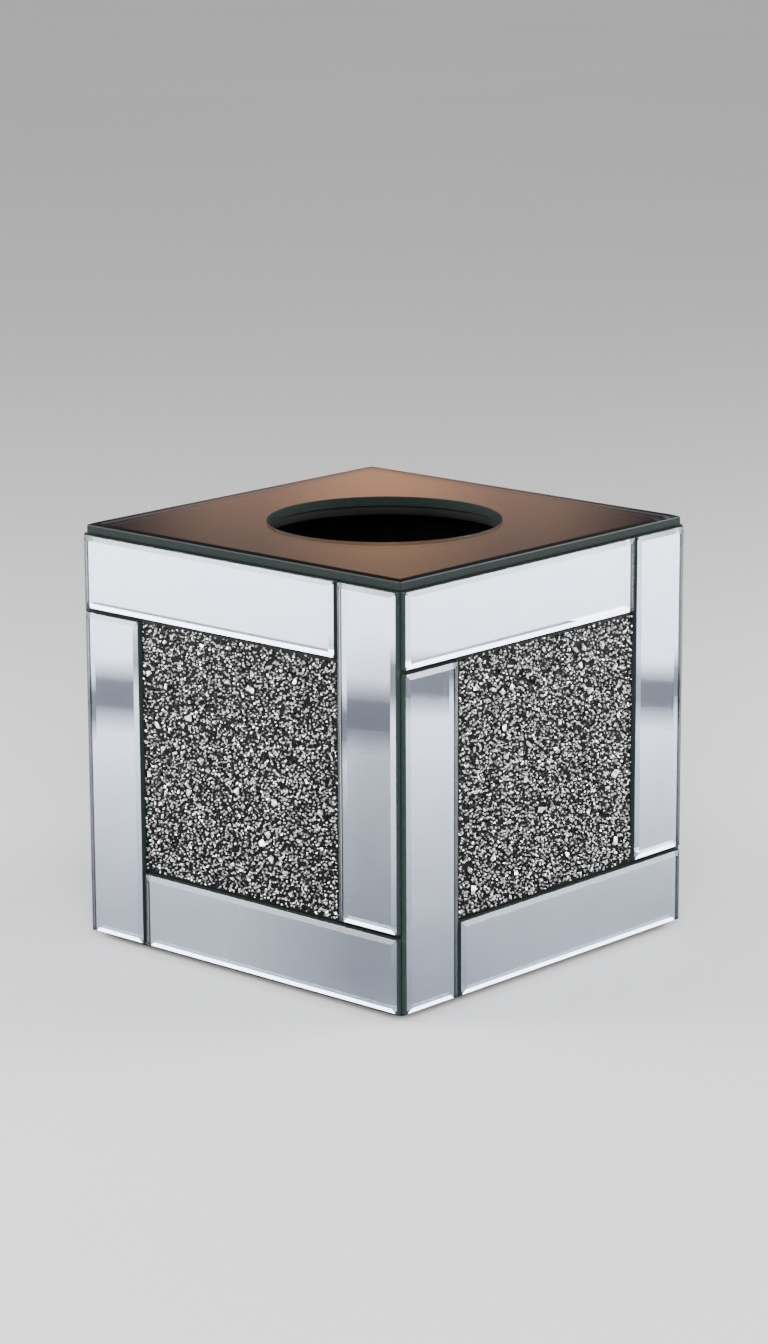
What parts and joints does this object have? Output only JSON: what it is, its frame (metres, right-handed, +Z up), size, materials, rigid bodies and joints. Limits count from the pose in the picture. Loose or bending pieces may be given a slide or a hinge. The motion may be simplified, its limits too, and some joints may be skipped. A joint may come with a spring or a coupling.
{
  "type": "mirror tissue box cover",
  "caption": "Cube-shaped mirror tissue box: bevelled mirror strips round crushed-crystal windows, a round tissue hole in the top, and a box that lifts off its low base.",
  "frame": {"origin": "on the table, under the middle of the box", "axes": "+Z up; the front side faces -Y and the right side faces +X"},
  "size_m": [0.14, 0.14, 0.1386],
  "materials": {
    "mirror_glass": "silvered float glass with dark green edges, polished bevels",
    "crushed_crystal": "small clear and white glass chips bonded in a bed",
    "black_board": "fibreboard with matt black paint",
    "magnet": "nickel-plated",
    "felt": "black felt"
  },
  "bodies": {
    "base": {"base_board": "black_board", "locating_board": "black_board", "front_left_base_magnet": "magnet", "front_right_base_magnet": "magnet", "back_right_base_magnet": "magnet", "back_left_base_magnet": "magnet", "front_left_felt_pad": "felt", "front_right_felt_pad": "felt", "back_right_felt_pad": "felt", "back_left_felt_pad": "felt"},
    "box": {"top_mirror_plate": "mirror_glass", "front_top_mirror": "mirror_glass", "front_right_mirror": "mirror_glass", "front_bottom_mirror": "mirror_glass", "front_left_mirror": "mirror_glass", "right_top_mirror": "mirror_glass", "right_right_mirror": "mirror_glass", "right_bottom_mirror": "mirror_glass", "right_left_mirror": "mirror_glass", "back_top_mirror": "mirror_glass", "back_right_mirror": "mirror_glass", "back_bottom_mirror": "mirror_glass", "back_left_mirror": "mirror_glass", "left_top_mirror": "mirror_glass", "left_right_mirror": "mirror_glass", "left_bottom_mirror": "mirror_glass", "left_left_mirror": "mirror_glass", "front_crystal_board": "black_board", "right_crystal_board": "black_board", "back_crystal_board": "black_board", "left_crystal_board": "black_board", "front_crystal_bed": "crushed_crystal", "right_crystal_bed": "crushed_crystal", "back_crystal_bed": "crushed_crystal", "left_crystal_bed": "crushed_crystal", "front_wall": "black_board", "right_wall": "black_board", "back_wall": "black_board", "left_wall": "black_board", "top_board": "black_board", "front_left_glue_block": "black_board", "front_right_glue_block": "black_board", "back_right_glue_block": "black_board", "back_left_glue_block": "black_board", "front_left_box_magnet": "magnet", "front_right_box_magnet": "magnet", "back_right_box_magnet": "magnet", "back_left_box_magnet": "magnet"}
  },
  "joints": [
    {"name": "box_lift", "type": "slide", "parent": "base", "child": "box", "axis": [0, 0, 1], "range_m": [0, 0.14]}
  ]
}
